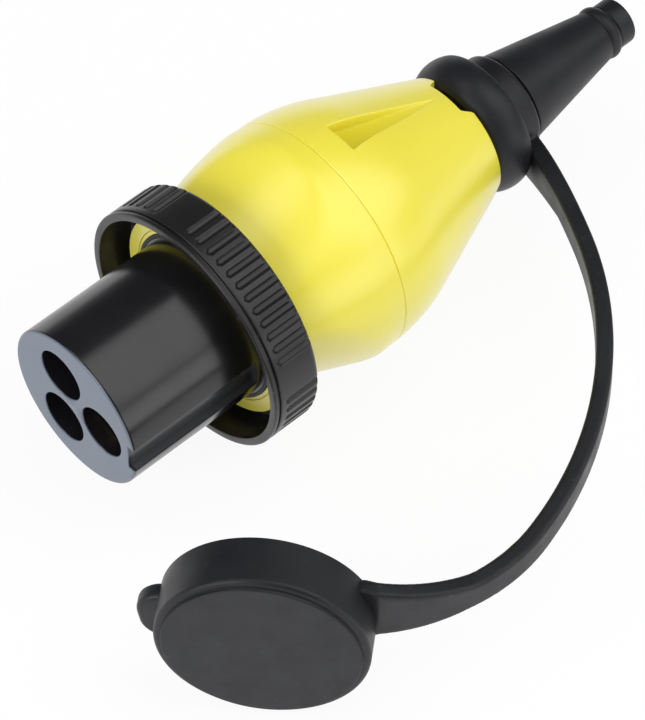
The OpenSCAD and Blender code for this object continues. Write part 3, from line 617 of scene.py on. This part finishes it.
def buildFrontShell(opts):
    seamX = boxMm("rear_shell")[0][0]
    bodyR = round(boxMm("rear_shell")[1][2], 1)
    shoulderX = boxMm("lock_ring")[1][0] + opts["shoulderGap"]
    creaseX, creaseR = seamX - opts["bandWidth"], bodyR + opts["bandRise"]
    dx, dr = creaseX - shoulderX, creaseR - opts["shoulder"]
    lift = math.sqrt(opts["swell"] ** 2 / (dx * dx + dr * dr) - 0.25)
    midX = (shoulderX + creaseX) / 2 + lift * dr
    midR = (opts["shoulder"] + creaseR) / 2 - lift * dx

    def swell(x):
        return midR + math.sqrt(opts["swell"] ** 2 - (x - midX) ** 2)

    collar = opts["collarRound"]
    corners = [(opts["collarFront"], opts["recess"], 0), (opts["collarFront"], opts["spigot"], collar),
               (opts["collarBack"], opts["spigot"], 0), (opts["collarBack"], opts["neck"], collar),
               (shoulderX, opts["neck"], 0), (shoulderX, opts["shoulder"], opts["shoulderRound"])]
    corners += alongCurve(np.linspace(shoulderX, creaseX, opts["swellLines"])[1:-1], swell)
    corners += [(creaseX, creaseR, 0), (creaseX + opts["creaseRun"], creaseR - opts["creaseDrop"], 0)]
    corners += [(seamX, bodyR, opts["seamRound"]), (seamX, opts["sleeve"], 0),
                (opts["sealFront"], opts["sleeve"], 0), (opts["sealFront"], opts["sealFloor"], 0),
                (opts["sealBack"], opts["sealFloor"], 0), (opts["sealBack"], opts["sleeve"], 0),
                (opts["sleeveEnd"], opts["sleeve"], opts["sleeveRound"]),
                (opts["sleeveEnd"], opts["sleeveBore"], opts["sleeveBoreRound"]),
                (opts["throatEnd"], opts["sleeveBore"], 0), (opts["throatStart"], opts["neckBore"], 0),
                (opts["seat"], opts["neckBore"], 0), (opts["seat"], opts["opening"], 0),
                (opts["recessEnd"], opts["opening"], 0), (opts["recessEnd"], opts["recess"], 0)]
    shell = turnedPiece("frontShellSkin", roundedLoop(corners), opts["steps"])

    points = readPoints(shell)
    x, y, z = points.T
    r = np.hypot(y, z)
    turn = np.arctan2(z, y)
    limit = r.copy()
    for at in opts["flatAt"]:
        off = (turn - math.radians(at) + math.pi) % (2 * math.pi) - math.pi
        near = np.abs(off) < math.radians(opts["flatReach"])
        flat = flatRadius(x, np.where(near, off, 0), creaseX, creaseR, opts)
        flat = np.where(near, flat, opts["flatFree"])
        limit = softMin(limit, flat, opts["flatSoft"])
    skin = (x > shoulderX - opts["skinSlack"]) & (x < seamX - opts["skinSeam"])
    skin = skin & (r > opts["neck"] + opts["skinNeck"])
    points[:, 1:] *= (np.where(skin, limit, r) / r)[:, None]
    writePoints(shell, points)
    finishPiece(shell, "plug", "shell_yellow", "front_shell", opts["smoothAngle"])


buildFrontShell(frontOpts)


# rear shell: cone with three wedge flutes, and a notch behind each
rearOpts = {
    "steps": 600, "sectors": 6, "smoothAngle": 40,
    "swell": 50.0, "taper": 21.5, "taperBreak": 1.5, "coneLap": 2, "seamChamfer": 0.4,
    "fluteAt": 90, "fluteStart": 8.8, "fluteWidth": 10.0, "fluteLength": 35.0,
    "fluteDepth": 3.2, "fluteTilt": 15.3,
    "fluteEdge": 0.45, "fluteTip": 0.2, "tipSoft": 0.7, "tipFade": 6, "tipOver": 0.5, "tipRun": 2,
    "notchWidth": 13.0, "notchDepth": 3.3, "notchEdge": 1.3, "notchRun": 6.8, "notchLead": 4,
    "tailRound": 0.5, "wall": 7.0, "bootHole": 14.3, "holeRound": 0.3, "holeLip": 1,
    "socket": 31.75, "socketEnd": 91.0, "fluteFloor": 2.2,
    "domeStep": 0.9, "fluteStep": 0.8, "tailStep": 0.4, "holeStep": 0.7,   # mesh lines along X
    "edgeLines": 11, "edgeReach": 1.2, "edgeClear": 1.5, "fluteFrom": 1.0, "tailStop": 0.3,
    "holeStart": 1, "holeStop": 0.4, "skinDepth": 1.6, "skinSlack": 0.01,
    "lineFloor": 0.12, "lineEdge": 0.2,   # shares of the mesh lines kept for a flute's floor and edge
}


def buildRearShell(opts):
    lo, hi = boxMm("rear_shell")
    seamX, tailX, bodyR = lo[0], hi[0], round(hi[2], 1)
    taper = math.radians(opts["taper"])
    tilt = math.tan(math.radians(opts["fluteTilt"]))
    bend = taper + math.radians(opts["taperBreak"])
    swellX = seamX + opts["swell"] * math.sin(bend)
    swellR = bodyR - opts["swell"] * (1 - math.cos(bend))

    def outside(x):
        cone = swellR - (x - swellX) * math.tan(taper)
        dome = bodyR - opts["swell"] + np.sqrt(np.clip(opts["swell"] ** 2 - (x - seamX) ** 2, 0, None))
        return np.where(x < swellX, np.maximum(cone * (x > swellX - opts["coneLap"]), dome), cone)

    fluteX = seamX + opts["fluteStart"]
    fluteR = float(outside(np.array(fluteX))) - opts["fluteDepth"]
    tipX = fluteX + opts["fluteLength"] * math.cos(math.atan(tilt))
    edge = opts["fluteEdge"]
    wallX = tailX - opts["wall"]
    cavity = fluteR - opts["fluteFloor"]
    xs = np.unique(np.round(np.concatenate([
        np.arange(seamX + opts["seamChamfer"], fluteX - opts["edgeClear"] * edge, opts["domeStep"]),
        np.linspace(fluteX - opts["edgeReach"] * edge, fluteX + opts["edgeReach"] * edge, opts["edgeLines"]),
        np.arange(fluteX + opts["fluteFrom"], tipX, opts["fluteStep"]),
        np.arange(tipX, tailX - opts["tailRound"] - opts["tailStop"], opts["tailStep"])]), 4))
    corners = [(seamX, bodyR - opts["seamChamfer"], 0)]
    corners += alongCurve(xs, lambda x: float(outside(np.array(x))))
    corners += [(tailX, float(outside(np.array(tailX))), opts["tailRound"]),
                (tailX, opts["bootHole"], opts["holeRound"])]
    holeXs = np.arange(tailX - opts["holeStart"], wallX + opts["holeStop"], -opts["holeStep"])
    corners += alongCurve(holeXs, lambda x: opts["bootHole"])
    corners += [(wallX, opts["bootHole"], 0), (wallX, cavity - (wallX - fluteX) * tilt, 0),
                (fluteX, cavity, 0), (opts["socketEnd"], cavity, 0),
                (opts["socketEnd"], opts["socket"], 0), (seamX, opts["socket"], 0)]
    shell = turnedPiece("rearShellSkin", roundedLoop(corners), opts["steps"], sectors=opts["sectors"])

    points = readPoints(shell)
    x, y, z = points.T
    r = np.hypot(y, z)
    turn = np.degrees(np.arctan2(z, y))
    sixth = 60
    off = (turn - opts["fluteAt"] + sixth) % (2 * sixth) - sixth
    centre = np.radians(turn - off)
    shown = (r > outside(x) - opts["skinDepth"]) | (x > wallX + opts["skinSlack"])
    notchX = tipX + opts["notchLead"]
    halves = [opts["fluteWidth"] / 2, opts["fluteTip"], opts["notchWidth"] / 2]
    half = np.interp(x, [fluteX, tipX, notchX], halves)
    softs = [edge, edge, opts["fluteTip"] * opts["tipSoft"], opts["notchEdge"]]
    soft = np.interp(x, [fluteX, tipX - opts["tipFade"], tipX, notchX], softs)

    # mesh lines gather along the edges of flute and notch
    share = np.abs(off) / sixth
    a, b = opts["lineFloor"], opts["lineEdge"]
    across = np.where(share < a, (half - soft) * share / a, half - soft + 2 * soft * (share - a) / (b - a))
    last = np.degrees(np.arcsin(np.clip((half + soft) / r, 0, 1)))
    angle = np.where(share <= b, np.degrees(np.arcsin(np.clip(across / r, 0, 1))),
                     last + (sixth - last) * (share - b) / (1 - b))
    angle = np.radians(np.where(shown, angle, np.abs(off))) * np.where(off < 0, -1, 1)

    # notch: the tail's edge draws back along the cone
    side = np.abs(r * np.sin(angle))
    back = opts["notchDepth"] * (1 - smoothStep((side - (half - soft)) / (2 * soft)))
    back = back * np.clip((x - (tailX - opts["notchRun"])) / opts["notchRun"], 0, 1) * shown
    newX = x - back
    newR = np.where(r > opts["bootHole"] + opts["holeLip"], r + outside(newX) - outside(x), r)

    # flute: flat sloping floor with rounded edges
    up, wide = newR * np.cos(angle), newR * np.sin(angle)
    floor = fluteR - (x - fluteX) * tilt
    sink = smoothStep((x - fluteX + edge) / (2 * edge))
    sink = sink * smoothStep((tipX + opts["tipOver"] - x) / opts["tipRun"])
    sink = sink * (1 - smoothStep((np.abs(wide) - (half - soft)) / (2 * soft))) * shown
    up = up + sink * np.minimum(floor - up, 0)
    points[:, 0] = newX
    points[:, 1] = up * np.cos(centre) - wide * np.sin(centre)
    points[:, 2] = up * np.sin(centre) + wide * np.cos(centre)
    writePoints(shell, points)
    # the recess attribute carries the flutes' painted shade, strongest at the deep wide end
    depth = sink * np.clip((tipX - x) / (tipX - fluteX), 0, 1)
    shell.data.attributes.new("recess", "FLOAT", "POINT").data.foreach_set("value", depth.astype(np.float32))
    finishPiece(shell, "plug", "shell_yellow", "rear_shell", opts["smoothAngle"])


buildRearShell(rearOpts)


# rubber boot: bead, groove for the cap's ring, long cone and tip
bootOpts = {
    "steps": 256, "smoothAngle": 32,
    "lip": 15.4, "lipLength": 3.0, "lipRound": 0.4, "lipBackRound": 0.2, "neck": 14.2, "tailGap": 0.1,
    "beadMiddle": 141.5, "beadCentre": 11.4, "beadRound": 8.9, "beadEnd": 145.3, "beadEdge": 0.7,
    "beadFrontRound": 0.5, "beadLines": 26,
    "groove": 12.5, "grooveEnd": 154.0, "grooveRound": 0.3, "coneRound": 0.5,
    "coneStart": 1.5, "coneStop": 0.3, "coneLines": 24,
    "cone": 13.6, "coneTip": 7.2, "tipStart": 190.0,
    "tipBeadCentre": 5.45, "tipBeadRound": 2.5, "tip": 6.9, "tipRound": 0.8,
    "tipBeadFront": 1.8, "tipBeadBack": 2.2, "tipBeadLines": 14, "tipFrom": 2.6,
    "cableBore": 5.5, "cableRound": 0.4, "glandBore": 9.9, "glandRound": 0.2, "glandEnd": 140.0,
}


def buildRubberBoot(opts):
    lo, hi = boxMm("cable_boot")
    x0, x1 = lo[0], hi[0]
    beadX, beadEnd = boxMm("rear_shell")[1][0] + opts["tailGap"], opts["beadEnd"]
    lipEnd = x0 + opts["lipLength"]
    grooveEnd, tipX = opts["grooveEnd"], opts["tipStart"]
    fall = (opts["cone"] - opts["coneTip"]) / (tipX - grooveEnd)

    def bead(x):
        return opts["beadCentre"] + math.sqrt(opts["beadRound"] ** 2 - (x - opts["beadMiddle"]) ** 2)

    def cone(x):
        return opts["cone"] - (x - grooveEnd) * fall

    def tipBead(x):
        return opts["tipBeadCentre"] + math.sqrt(opts["tipBeadRound"] ** 2 - (x - tipX) ** 2)

    corners = [(x0, opts["glandBore"], opts["glandRound"]), (x0, opts["lip"], opts["lipRound"]),
               (lipEnd, opts["lip"], opts["lipBackRound"]), (lipEnd, opts["neck"], 0),
               (beadX, opts["neck"], 0), (beadX, bead(beadX), opts["beadFrontRound"])]
    corners += alongCurve(np.linspace(beadX, beadEnd, opts["beadLines"])[2:-2], bead)
    corners += [(beadEnd, bead(beadEnd), opts["beadEdge"]), (beadEnd, opts["groove"], opts["grooveRound"]),
                (grooveEnd, opts["groove"], opts["grooveRound"]),
                (grooveEnd, opts["cone"], opts["coneRound"])]
    meet = tipX - opts["tipBeadFront"]
    coneXs = np.linspace(grooveEnd + opts["coneStart"], meet - opts["coneStop"], opts["coneLines"])
    corners += alongCurve(coneXs, cone)
    corners += alongCurve(np.linspace(meet, tipX + opts["tipBeadBack"], opts["tipBeadLines"]), tipBead)
    corners += [(tipX + opts["tipFrom"], opts["tip"], 0), (x1, opts["tip"], opts["tipRound"]),
                (x1, opts["cableBore"], opts["cableRound"]), (opts["glandEnd"], opts["cableBore"], 0),
                (opts["glandEnd"], opts["glandBore"], 0)]
    boot = turnedPiece("rubberBoot", roundedLoop(corners), opts["steps"])
    finishPiece(boot, "plug", "boot_rubber", "cable_boot", opts["smoothAngle"])


buildRubberBoot(bootOpts)


# ring, strap and cap: one rubber moulding
capOpts = {
    "smoothAngle": 35, "edgeSegments": 3,
    "ringSteps": 160, "ringSpare": 1.0, "boreOverrun": 20,
    "ringFront": 145.95, "ringWidth": 7.4, "ringBore": 12.6, "ring": 15.0, "ringRound": 1.4,
    "strapFrom": (151.0, -9.0, 0.0), "strapFall": -1.9, "strapTurn": -107.8,
    "strapThick": 4.6, "strapWide": 9.0, "strapEdge": 0.7, "strapCuts": 190,
    "bends": ((300.0, 8.2), (110.0, 50.8), (50.0, 55.4)),
    "rootLow": 15.4, "rootNarrow": 4.0, "rootLength": 32.0, "rootRise": 0.9,
    "rootDip": 3.6, "dipStart": 6.0, "dipFade": 12.0,
    "endLow": 7.3, "endHigh": 11.4, "endLength": 28.0, "padLength": 3.2,
    "capTurns": (-7.3, 7.3, 3.7),     # about the cap's own Z, Y and X
    "voxel": 0.42, "easing": 4, "easeFactor": 0.5, "thinnest": 0.004,
    "capR": 27.5, "capBore": 23.8, "capDepth": 15.0, "capFloor": 3.0,
    "capRound": 1.4, "mouthRound": 0.5, "rimWidth": 0.6, "rimDrop": 0.9, "faceRound": 0.25, "capSteps": 256,
    "floorRound": 0.8, "ledgeRound": 0.12, "faceLean": 0.1, "faceInset": 0.9,
    "faceRings": (8, 16), "ringInset": 2.4,     # mesh rings on the closed face
    "tabWide": 17.4, "tabThick": 5.0, "tabReach": 33.3, "tabRoot": 25.65, "tabRound": 7.0, "tabEdge": 1.3,
    "tabTurn": 1.2, "tabSegments": 10, "tabSlack": 0.1, "flatSlack": 0.01,
}


def routeFrames(opts):
    # start of each bend, then the strap's end
    place = Matrix.Translation(opts["strapFrom"])
    place = place @ Matrix.Rotation(math.radians(opts["strapFall"]), 4, "Y")
    place = place @ Matrix.Rotation(math.radians(opts["strapTurn"]), 4, "Z")
    frames = [place]
    for radius, angle in opts["bends"]:
        turn = math.radians(angle)
        step = Matrix.Translation((radius * math.sin(turn), -radius * (1 - math.cos(turn)), 0))
        place = place @ step @ Matrix.Rotation(-turn, 4, "Z")
        frames.append(place)
    return frames


def alongX(a, b):
    nearly = 0.9
    return abs(a.x - b.x) > nearly * (a - b).length


def buildStrapBar(opts, frames, capPlace):
    lengths = [radius * math.radians(angle) for radius, angle in opts["bends"]]
    total = sum(lengths)
    full = total + opts["padLength"]
    thick, wide = opts["strapThick"], opts["strapWide"]
    deselectAll()
    bpy.ops.mesh.primitive_cube_add(size=1, location=(full / 2 * mm, 0, 0),
                                    scale=(full * mm, thick * mm, wide * mm))
    bar = bpy.context.object
    bar.name = bar.data.name = "capStrapBar"
    bpy.ops.object.transform_apply(location=True, rotation=True, scale=True)
    pickEdges(bar, alongX)
    bpy.ops.mesh.bevel(offset=opts["strapEdge"] * mm, segments=opts["edgeSegments"], affect="EDGES")
    pickEdges(bar, alongX)
    bpy.ops.mesh.subdivide(number_cuts=opts["strapCuts"])
    bpy.ops.object.mode_set(mode="OBJECT")

    # flared root and end, then laid along the three bends
    points = readPoints(bar)
    s = points[:, 0]
    narrow, halfWide = opts["rootNarrow"], wide / 2
    rootShare = s / opts["rootLength"]
    endShare = (s - total + opts["endLength"]) / opts["endLength"]
    endShare = np.clip(endShare, 0, 1)
    low = np.maximum(halfWide, narrow + (opts["endLow"] - narrow) * endShare)
    onRing = math.sqrt(opts["ring"] ** 2 - opts["strapFrom"][1] ** 2)
    root = opts["rootLow"] + (narrow - opts["rootLow"]) * rootShare
    low = np.maximum(low, np.minimum(root, onRing + opts["rootRise"] * s))
    high = np.maximum(halfWide, narrow + (opts["endHigh"] - narrow) * endShare)
    high = high - opts["rootDip"] * np.exp(-np.clip(s - opts["dipStart"], 0, None) / opts["dipFade"])
    level = points[:, 2] / halfWide
    tall = np.where(level < 0, level * low, level * high)
    laid = []
    for rest, offset, up in zip(s, points[:, 1], tall):
        k = 0
        while k < len(lengths) and rest > lengths[k]:
            rest -= lengths[k]
            k += 1
        if k == len(lengths):
            local = capPlace @ Matrix.Translation((rest, offset, up))
        else:
            radius = opts["bends"][k][0]
            turn = rest / radius
            reach = radius + offset
            along, across = reach * math.sin(turn), reach * math.cos(turn) - radius
            local = frames[k] @ Matrix.Translation((along, across, up))
        laid.append(local.to_translation())
    writePoints(bar, np.array([tuple(p) for p in laid]))
    return bar


def buildPullTab(opts):
    # on the cap's own axis, the tab points along -Y
    root, reach, thick = opts["tabRoot"], opts["tabReach"], opts["tabThick"]
    deselectAll()
    bpy.ops.mesh.primitive_cube_add(size=1, location=(thick / 2 * mm, -(root + reach) / 2 * mm, 0),
                                    scale=(thick * mm, (reach - root) * mm, opts["tabWide"] * mm))
    tab = bpy.context.object
    tab.name = tab.data.name = "pullTabTool"
    bpy.ops.object.transform_apply(location=True, rotation=True, scale=True)

    def endCorner(a, b):
        return abs(a.x - b.x) > mm and (a.y + b.y) / 2 < -(reach - opts["tabSlack"]) * mm

    def outerEdge(a, b):
        flat = abs(a.x - b.x) < opts["flatSlack"] * mm
        return flat and (a.y + b.y) / 2 < -(root + opts["tabSlack"]) * mm

    pickEdges(tab, endCorner)
    bpy.ops.mesh.bevel(offset=opts["tabRound"] * mm, segments=opts["tabSegments"], affect="EDGES")
    pickEdges(tab, outerEdge)
    bpy.ops.mesh.bevel(offset=opts["tabEdge"] * mm, segments=opts["edgeSegments"], affect="EDGES")
    bpy.ops.object.mode_set(mode="OBJECT")
    return tab


def buildSealingCap(opts):
    # turned on its own axis, with the mouth at 0
    capR, bore, depth = opts["capR"], opts["capBore"], opts["capDepth"]
    rim = capR - opts["capRound"] - opts["rimWidth"]
    inside, ledge = depth - opts["capFloor"], depth - opts["rimDrop"]
    rings = (*opts["faceRings"], bore - opts["ringInset"])
    corners = [(inside, 0, 0)] + [(inside, r, 0) for r in rings]
    corners += [(inside, bore, opts["floorRound"]), (0, bore, opts["mouthRound"]),
                (0, capR, opts["mouthRound"]), (ledge, capR, opts["capRound"]),
                (ledge, rim, opts["ledgeRound"]), (depth, rim - opts["faceLean"], opts["faceRound"]),
                (depth, rim - opts["faceInset"], 0)]
    corners += [(depth, r, 0) for r in reversed(rings)] + [(depth, 0, 0)]
    cap = turnedPiece("sealingCapTool", roundedLoop(corners), opts["capSteps"], closed=False)
    tab = buildPullTab(opts)
    applyPlace(tab, Matrix.Rotation(math.radians(opts["tabTurn"]), 4, "X"))
    combine(cap, tab, "UNION")
    return cap


def buildCapAndStrap(opts):
    frames = routeFrames(opts)
    capPlace = frames[-1]
    for axis, angle in zip("ZYX", opts["capTurns"]):
        capPlace = capPlace @ Matrix.Rotation(math.radians(angle), 4, axis)
    bar = buildStrapBar(opts, frames, capPlace)

    x0, x1 = opts["ringFront"], opts["ringFront"] + opts["ringWidth"]
    inner = opts["ringBore"] - opts["ringSpare"]
    ringLoop = roundedLoop([(x0, inner, 0), (x0, opts["ring"], opts["ringRound"]),
                            (x1, opts["ring"], opts["ringRound"]), (x1, inner, 0)])
    ring = turnedPiece("capAndStrap", ringLoop, opts["ringSteps"])
    combine(ring, bar, "UNION")
    pickOnly(ring)
    mod = ring.modifiers.new("grain", "REMESH")
    mod.mode = "VOXEL"
    mod.voxel_size = opts["voxel"] * mm
    bpy.ops.object.modifier_apply(modifier=mod.name)
    mod = ring.modifiers.new("ease", "SMOOTH")
    mod.factor = opts["easeFactor"]
    mod.iterations = opts["easing"]
    bpy.ops.object.modifier_apply(modifier=mod.name)
    toolX0, toolX1 = x0 - opts["boreOverrun"], x1 + opts["boreOverrun"]
    boreLoop = [(toolX0, 0), (toolX0, opts["ringBore"]), (toolX1, opts["ringBore"]), (toolX1, 0)]
    bore = turnedPiece("ringBoreTool", boreLoop, opts["ringSteps"], closed=False)
    combine(ring, bore, "DIFFERENCE")

    # the cap is set at the strap's end
    cap = buildSealingCap(opts)
    seat = Matrix.Translation((opts["capR"], -opts["strapThick"] / 2, 0))
    seat = seat @ Matrix.Rotation(math.pi / 2, 4, "Z")
    place = capPlace @ seat
    place.translation = place.translation * mm
    applyPlace(cap, place)
    combine(ring, cap, "UNION")
    dropSlivers(ring, opts["thinnest"])
    finishPiece(ring, "plug", "boot_rubber", "cap_tether", opts["smoothAngle"])


buildCapAndStrap(capOpts)


# nose: solid insulator with three contact pockets and a keyway
noseOpts = {
    "steps": 256, "pocketSteps": 128, "screwSteps": 32, "smoothAngle": 28, "overrun": 1,
    "nose": 23.5, "frontRound": 0.8, "rootStart": 43.9, "root": 24.2, "seat": 50.5,
    "flange": 25.3, "flangeEnd": 54.0, "barrel": 22.4,
    "rootRound": 0.1, "flangeRound": 0.2, "barrelRound": 0.3,
    "poleAt": (60, -60, 180), "poleRadius": 10.3,
    "pocket": 7.5, "pocketDepth": 12.0, "pocketFlare": 0.35, "contactHole": 5.1,
    "flareLip": 0.4, "flareCurve": ((0, 1), (0.3, 0.42), (1, 0.08), (1.6, 0)),   # shares of pocketFlare
    "stopStart": 58.0, "stopRecess": 6.5,
    "screwAt": (0, 120, 240), "screwRadius": 16.0, "screwHole": 1.85, "screwStart": 51.0,
    "keyWidth": 9.0, "keyDepth": 2.8, "keyEnd": 41.9, "keyFlare": 0.3,
    "keyUnder": 0.55, "keyRise": 1.2, "keySpread": 4,
}


def keywayTool(opts):
    # bar along the nose, widening just under the surface
    nose, flare, over = opts["nose"], opts["keyFlare"], opts["overrun"]
    floorY, topY = -(nose - opts["keyDepth"]), -(nose - opts["keyUnder"])
    deselectAll()
    bpy.ops.mesh.primitive_cube_add(
        size=1, location=((opts["keyEnd"] - over) / 2 * mm, (floorY + topY) / 2 * mm, 0),
        scale=((opts["keyEnd"] + over) * mm, (floorY - topY) * mm, opts["keyWidth"] * mm))
    tool = bpy.context.object
    bpy.ops.object.transform_apply(location=True, rotation=True, scale=True)
    bpy.ops.object.mode_set(mode="EDIT")
    bpy.ops.mesh.select_all(action="DESELECT")
    bpy.ops.object.mode_set(mode="OBJECT")
    bpy.context.tool_settings.mesh_select_mode = (False, False, True)
    outward = -0.9
    for face in tool.data.polygons:
        face.select = face.normal.y < outward
    bpy.ops.object.mode_set(mode="EDIT")
    bpy.ops.mesh.extrude_region_move(TRANSFORM_OT_translate={"value": (0, -opts["keyRise"] * mm, 0)})
    bpy.ops.transform.resize(value=(1, 1, 1 + 2 * opts["keySpread"] * flare / opts["keyWidth"]))
    bpy.ops.object.mode_set(mode="OBJECT")
    return tool


def buildNose(opts):
    x1 = boxMm("contact_carrier")[1][0]
    nose, over = opts["nose"], opts["overrun"]
    loop = roundedLoop([(0, 0, 0), (0, nose, opts["frontRound"]), (opts["rootStart"], nose, 0),
                        (opts["rootStart"], opts["root"], opts["rootRound"]), (opts["seat"], opts["root"], 0),
                        (opts["seat"], opts["flange"], opts["flangeRound"]),
                        (opts["flangeEnd"], opts["flange"], opts["flangeRound"]),
                        (opts["flangeEnd"], opts["barrel"], 0), (x1, opts["barrel"], opts["barrelRound"]),
                        (x1, 0, 0)])
    piece = turnedPiece("noseMoulding", loop, opts["steps"], closed=False)

    flare, pocket, hole = opts["pocketFlare"], opts["pocket"], opts["contactHole"]
    depth, stop, screwX = opts["pocketDepth"], opts["stopStart"], opts["screwStart"]
    pocketLoop = [(-over, 0), (-over, pocket + flare + opts["flareLip"])]
    pocketLoop += [(a * flare, pocket + b * flare) for a, b in opts["flareCurve"]]
    pocketLoop += [(depth, pocket), (depth, hole), (stop, hole), (stop, opts["stopRecess"]),
                   (x1 + over, opts["stopRecess"]), (x1 + over, 0)]
    screwLoop = [(screwX, 0), (screwX, opts["screwHole"]), (x1 + over, opts["screwHole"]), (x1 + over, 0)]
    places = [(angle, opts["poleRadius"], pocketLoop, opts["pocketSteps"]) for angle in opts["poleAt"]]
    places += [(angle, opts["screwRadius"], screwLoop, opts["screwSteps"]) for angle in opts["screwAt"]]
    for angle, radius, toolLoop, steps in places:
        tool = turnedPiece("pocketTool", toolLoop, steps, closed=False)
        at = math.radians(angle)
        applyPlace(tool, Matrix.Translation((0, radius * math.cos(at) * mm, radius * math.sin(at) * mm)))
        combine(piece, tool, "DIFFERENCE")
    combine(piece, keywayTool(opts), "DIFFERENCE")
    finishPiece(piece, "plug", "carrier_black", "contact_carrier", opts["smoothAngle"])


buildNose(noseOpts)
